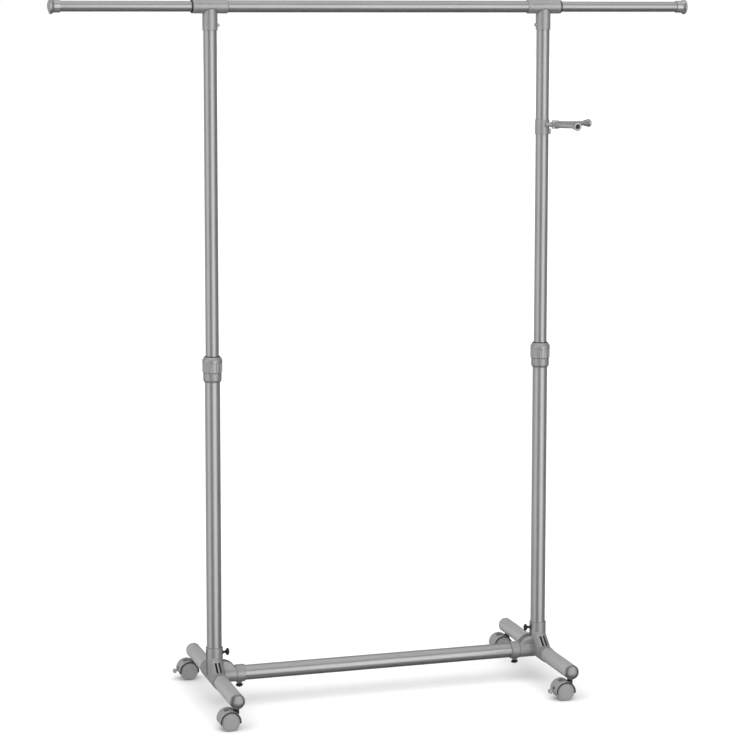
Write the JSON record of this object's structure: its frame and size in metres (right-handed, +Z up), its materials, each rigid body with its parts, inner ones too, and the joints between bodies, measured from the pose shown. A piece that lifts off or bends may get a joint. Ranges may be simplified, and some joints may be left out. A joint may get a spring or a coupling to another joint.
{
  "type": "garment rail",
  "caption": "Rolling garment rail with telescopic posts, an extending hanging rail, twist locks, a small hook and a four-footed base on casters.",
  "frame": {"origin": "on the floor, under the middle of the object's bounding box", "axes": "+X along the hanging rail, +Y to the back, +Z up"},
  "size_m": [1.416, 0.4296, 1.5004],
  "materials": {
    "satin_steel": "satin silver-grey coated steel tube",
    "foot_tube": "matt silver-grey powder coat",
    "corner_plastic": "satin grey moulded plastic",
    "fitting_plastic": "satin silver-grey moulded plastic",
    "foot_cap": "semi-gloss grey plastic",
    "cap_plastic": "semi-gloss light grey plastic",
    "hood_plastic": "grey moulded plastic",
    "wheel_grey": "matt grey plastic with a soft rim",
    "black_plastic": "black moulded plastic",
    "bright_steel": "bright plated steel"
  },
  "bodies": {
    "base": {"corner_left": "corner_plastic", "lower_post_left": "satin_steel", "lock_collar_left": "corner_plastic", "corner_right": "corner_plastic", "lower_post_right": "satin_steel", "lock_collar_right": "corner_plastic", "base_bar": "satin_steel", "foot_tube_front_left": "foot_tube", "foot_cap_front_left": "foot_cap", "caster_stem_front_left": "black_plastic", "foot_tube_front_right": "foot_tube", "foot_cap_front_right": "foot_cap", "caster_stem_front_right": "black_plastic", "foot_tube_rear_left": "foot_tube", "foot_cap_rear_left": "foot_cap", "caster_stem_rear_left": "black_plastic", "foot_tube_rear_right": "foot_tube", "foot_cap_rear_right": "foot_cap", "caster_stem_rear_right": "black_plastic"},
    "upper_frame": {"centre_rail": "satin_steel", "upper_post_left": "satin_steel", "tee_left": "fitting_plastic", "rail_bush_left": "black_plastic", "upper_post_right": "satin_steel", "tee_right": "fitting_plastic", "rail_bush_right": "black_plastic"},
    "lock_nut_left": {"lock_nut_left": "fitting_plastic"},
    "rail_extension_left": {"rail_extension_left": "satin_steel", "rail_cap_left": "cap_plastic"},
    "snap_button_left": {"snap_button_left": "bright_steel"},
    "post_knob_left": {"post_knob_left": "black_plastic"},
    "bar_knob_left": {"bar_knob_left": "black_plastic"},
    "lock_nut_right": {"lock_nut_right": "fitting_plastic"},
    "rail_extension_right": {"rail_extension_right": "satin_steel", "rail_cap_right": "cap_plastic"},
    "snap_button_right": {"snap_button_right": "bright_steel"},
    "post_knob_right": {"post_knob_right": "black_plastic"},
    "bar_knob_right": {"bar_knob_right": "black_plastic"},
    "hook": {"hook_clamp": "fitting_plastic", "hook_pegs": "satin_steel", "hook_cap_front": "cap_plastic", "hook_cap_rear": "cap_plastic"},
    "caster_front_left": {"caster_hood_front_left": "hood_plastic", "caster_axle_front_left": "bright_steel"},
    "wheel_front_of_front_left": {"wheel_front_of_front_left": "wheel_grey"},
    "wheel_rear_of_front_left": {"wheel_rear_of_front_left": "wheel_grey"},
    "caster_front_right": {"caster_hood_front_right": "hood_plastic", "caster_axle_front_right": "bright_steel"},
    "wheel_front_of_front_right": {"wheel_front_of_front_right": "wheel_grey"},
    "wheel_rear_of_front_right": {"wheel_rear_of_front_right": "wheel_grey"},
    "brake_lever_front_right": {"brake_lever_front_right": "hood_plastic"},
    "caster_rear_left": {"caster_hood_rear_left": "hood_plastic", "caster_axle_rear_left": "bright_steel"},
    "wheel_front_of_rear_left": {"wheel_front_of_rear_left": "wheel_grey"},
    "wheel_rear_of_rear_left": {"wheel_rear_of_rear_left": "wheel_grey"},
    "brake_lever_rear_left": {"brake_lever_rear_left": "hood_plastic"},
    "caster_rear_right": {"caster_hood_rear_right": "hood_plastic", "caster_axle_rear_right": "bright_steel"},
    "wheel_front_of_rear_right": {"wheel_front_of_rear_right": "wheel_grey"},
    "wheel_rear_of_rear_right": {"wheel_rear_of_rear_right": "wheel_grey"}
  },
  "joints": [
    {"name": "frame_height", "type": "slide", "parent": "base", "child": "upper_frame", "axis": [0, 0, 1], "range_m": [-0.3, 0.1]},
    {"name": "lock_nut_left_turn", "type": "hinge", "parent": "base", "child": "lock_nut_left", "pos_m": [-0.37, 0, 0.716], "axis": [0, 0, 1], "range_deg": [0, 120]},
    {"name": "rail_extension_left_slide", "type": "slide", "parent": "upper_frame", "child": "rail_extension_left", "axis": [-1, 0, 0], "range_m": [-0.272, 0.06]},
    {"name": "snap_button_left_press", "type": "slide", "parent": "upper_frame", "child": "snap_button_left", "axis": [-1, 0, 0], "range_m": [0, 0.004], "stiffness_N_per_m": 900},
    {"name": "post_knob_left_turn", "type": "hinge", "parent": "base", "child": "post_knob_left", "pos_m": [-0.3408, 0, 0.109], "axis": [1, 0, 0], "range_deg": [0, 360]},
    {"name": "bar_knob_left_turn", "type": "hinge", "parent": "base", "child": "bar_knob_left", "pos_m": [-0.3155, 0, 0.0328], "axis": [0, 0, -1], "range_deg": [0, 360]},
    {"name": "lock_nut_right_turn", "type": "hinge", "parent": "base", "child": "lock_nut_right", "pos_m": [0.37, 0, 0.716], "axis": [0, 0, 1], "range_deg": [0, 120]},
    {"name": "rail_extension_right_slide", "type": "slide", "parent": "upper_frame", "child": "rail_extension_right", "axis": [1, 0, 0], "range_m": [-0.272, 0.06]},
    {"name": "snap_button_right_press", "type": "slide", "parent": "upper_frame", "child": "snap_button_right", "axis": [1, 0, 0], "range_m": [0, 0.004], "stiffness_N_per_m": 900},
    {"name": "post_knob_right_turn", "type": "hinge", "parent": "base", "child": "post_knob_right", "pos_m": [0.3408, 0, 0.109], "axis": [-1, 0, 0], "range_deg": [0, 360]},
    {"name": "bar_knob_right_turn", "type": "hinge", "parent": "base", "child": "bar_knob_right", "pos_m": [0.3155, 0, 0.0328], "axis": [0, 0, -1], "range_deg": [0, 360]},
    {"name": "hook_height", "type": "slide", "parent": "upper_frame", "child": "hook", "axis": [0, 0, 1], "range_m": [-0.12, 0.18]},
    {"name": "caster_front_left_swivel", "type": "hinge", "parent": "base", "child": "caster_front_left", "pos_m": [-0.37, -0.195, 0.04], "axis": [0, 0, 1], "continuous": true},
    {"name": "wheel_front_of_front_left_spin", "type": "hinge", "parent": "caster_front_left", "child": "wheel_front_of_front_left", "pos_m": [-0.3855, -0.195, 0.02], "axis": [0, 1, 0], "continuous": true},
    {"name": "wheel_rear_of_front_left_spin", "type": "hinge", "parent": "caster_front_left", "child": "wheel_rear_of_front_left", "pos_m": [-0.3855, -0.195, 0.02], "axis": [0, 1, 0], "continuous": true},
    {"name": "caster_front_right_swivel", "type": "hinge", "parent": "base", "child": "caster_front_right", "pos_m": [0.37, -0.195, 0.04], "axis": [0, 0, 1], "continuous": true},
    {"name": "wheel_front_of_front_right_spin", "type": "hinge", "parent": "caster_front_right", "child": "wheel_front_of_front_right", "pos_m": [0.3545, -0.195, 0.02], "axis": [0, 1, 0], "continuous": true},
    {"name": "wheel_rear_of_front_right_spin", "type": "hinge", "parent": "caster_front_right", "child": "wheel_rear_of_front_right", "pos_m": [0.3545, -0.195, 0.02], "axis": [0, 1, 0], "continuous": true},
    {"name": "brake_front_right_press", "type": "hinge", "parent": "caster_front_right", "child": "brake_lever_front_right", "pos_m": [0.3405, -0.195, 0.02], "axis": [0, -1, 0], "range_deg": [0, 10]},
    {"name": "caster_rear_left_swivel", "type": "hinge", "parent": "base", "child": "caster_rear_left", "pos_m": [-0.37, 0.195, 0.04], "axis": [0, 0, 1], "continuous": true},
    {"name": "wheel_front_of_rear_left_spin", "type": "hinge", "parent": "caster_rear_left", "child": "wheel_front_of_rear_left", "pos_m": [-0.3855, 0.195, 0.02], "axis": [0, 1, 0], "continuous": true},
    {"name": "wheel_rear_of_rear_left_spin", "type": "hinge", "parent": "caster_rear_left", "child": "wheel_rear_of_rear_left", "pos_m": [-0.3855, 0.195, 0.02], "axis": [0, 1, 0], "continuous": true},
    {"name": "brake_rear_left_press", "type": "hinge", "parent": "caster_rear_left", "child": "brake_lever_rear_left", "pos_m": [-0.3995, 0.195, 0.02], "axis": [0, -1, 0], "range_deg": [0, 10]},
    {"name": "caster_rear_right_swivel", "type": "hinge", "parent": "base", "child": "caster_rear_right", "pos_m": [0.37, 0.195, 0.04], "axis": [0, 0, 1], "continuous": true},
    {"name": "wheel_front_of_rear_right_spin", "type": "hinge", "parent": "caster_rear_right", "child": "wheel_front_of_rear_right", "pos_m": [0.3545, 0.195, 0.02], "axis": [0, 1, 0], "continuous": true},
    {"name": "wheel_rear_of_rear_right_spin", "type": "hinge", "parent": "caster_rear_right", "child": "wheel_rear_of_rear_right", "pos_m": [0.3545, 0.195, 0.02], "axis": [0, 1, 0], "continuous": true}
  ]
}
